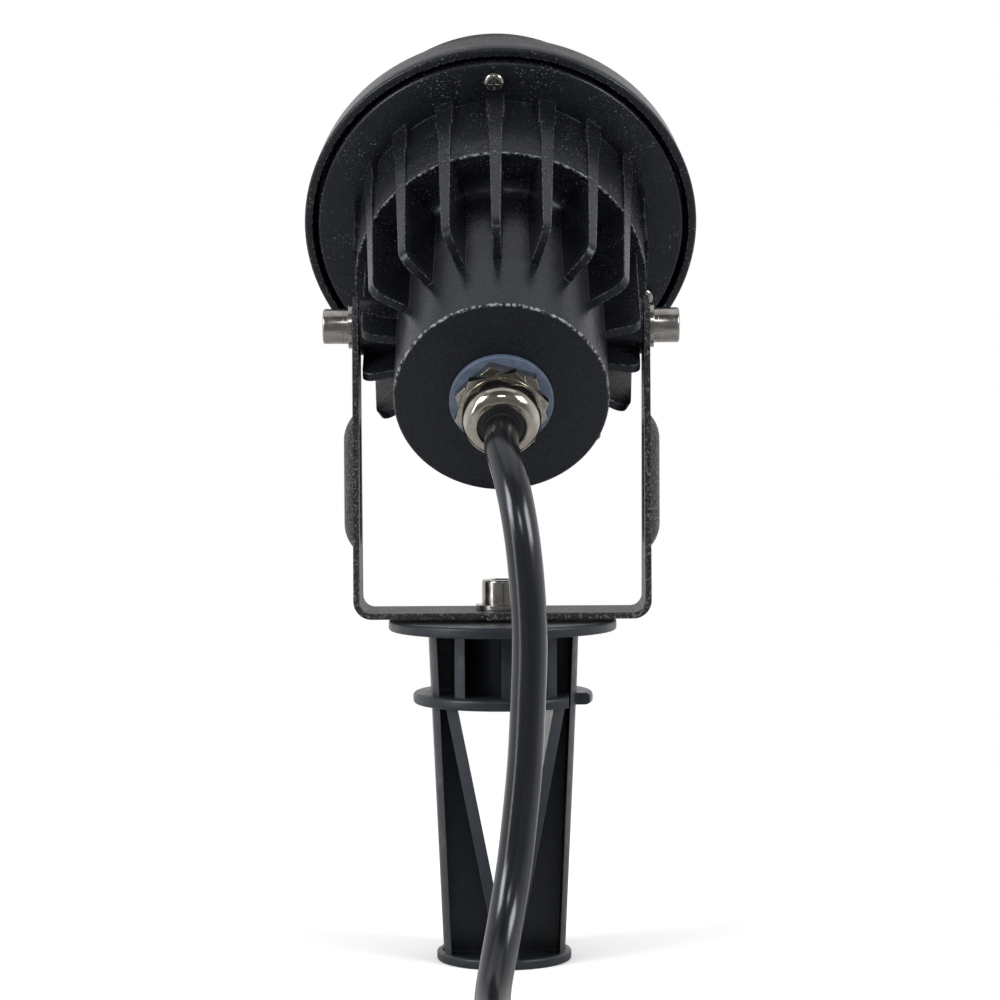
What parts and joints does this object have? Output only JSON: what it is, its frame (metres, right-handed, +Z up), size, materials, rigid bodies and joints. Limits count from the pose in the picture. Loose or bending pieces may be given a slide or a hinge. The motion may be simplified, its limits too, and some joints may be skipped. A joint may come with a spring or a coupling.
{
  "type": "garden spotlight",
  "caption": "Black garden spotlight: finned round lamp head tilting in a U bracket that turns on a ribbed ground stake, with a rubber cord coiled behind it.",
  "frame": {"origin": "centre of the underside of the stake's foot", "axes": "+Z up along the stake, +Y the way the lamp shines, +X across along the tilt axis"},
  "size_m": [0.1027, 0.3164, 0.2276],
  "materials": {
    "coated_casting": "satin black powder coat",
    "coated_steel": "satin black powder coat",
    "stainless": "satin",
    "lens_glass": "clear gloss",
    "gasket_rubber": "matte",
    "bright_reflector": "polished",
    "bare_aluminium": "satin",
    "led_phosphor": "matte",
    "white_plastic": "matte",
    "red_wire": "satin",
    "circuit_board": "gloss",
    "driver_components": "matte",
    "core_sleeves": "satin",
    "grey_nylon": "matte",
    "nickel_brass": "satin nickel plate",
    "gland_rubber": "matte",
    "cord_rubber": "satin",
    "tie_plastic": "satin",
    "stake_plastic": "satin"
  },
  "bodies": {
    "head": {"heat_sink": "coated_casting", "front_cap": "coated_casting", "cap_screws": "stainless", "glass_lens": "lens_glass", "lens_gasket": "gasket_rubber", "reflector": "bright_reflector", "led_plate": "bare_aluminium", "plate_screws": "stainless", "led_cob": "led_phosphor", "cob_holder": "white_plastic", "led_wires": "red_wire", "driver_board": "circuit_board", "driver_parts": "driver_components", "supply_wires": "core_sleeves", "gland_washer": "grey_nylon", "gland_body": "nickel_brass", "gland_locknut": "nickel_brass", "gland_nut": "nickel_brass", "gland_seal": "gland_rubber", "cord_inner": "cord_rubber", "pivot_bolts": "stainless", "pivot_spring_washers": "stainless", "pivot_flat_washers": "stainless"},
    "swivel": {"bracket": "coated_steel", "cord_lead": "cord_rubber", "cord_coil": "cord_rubber", "cord_tie": "tie_plastic", "cord_cores": "core_sleeves"},
    "base": {"stake": "stake_plastic", "base_bolt": "stainless", "base_nut": "stainless", "base_washer": "stainless", "swivel_washer": "stainless"}
  },
  "joints": [
    {"name": "bracket_turn", "type": "hinge", "parent": "base", "child": "swivel", "pos_m": [0, 0, 0.084], "axis": [0, 0, 1], "range_deg": [-180, 180]},
    {"name": "head_tilt", "type": "hinge", "parent": "swivel", "child": "head", "pos_m": [0, 0, 0.1544], "axis": [1, 0, 0], "range_deg": [-55, 40], "deforming": ["cord_lead"]}
  ]
}
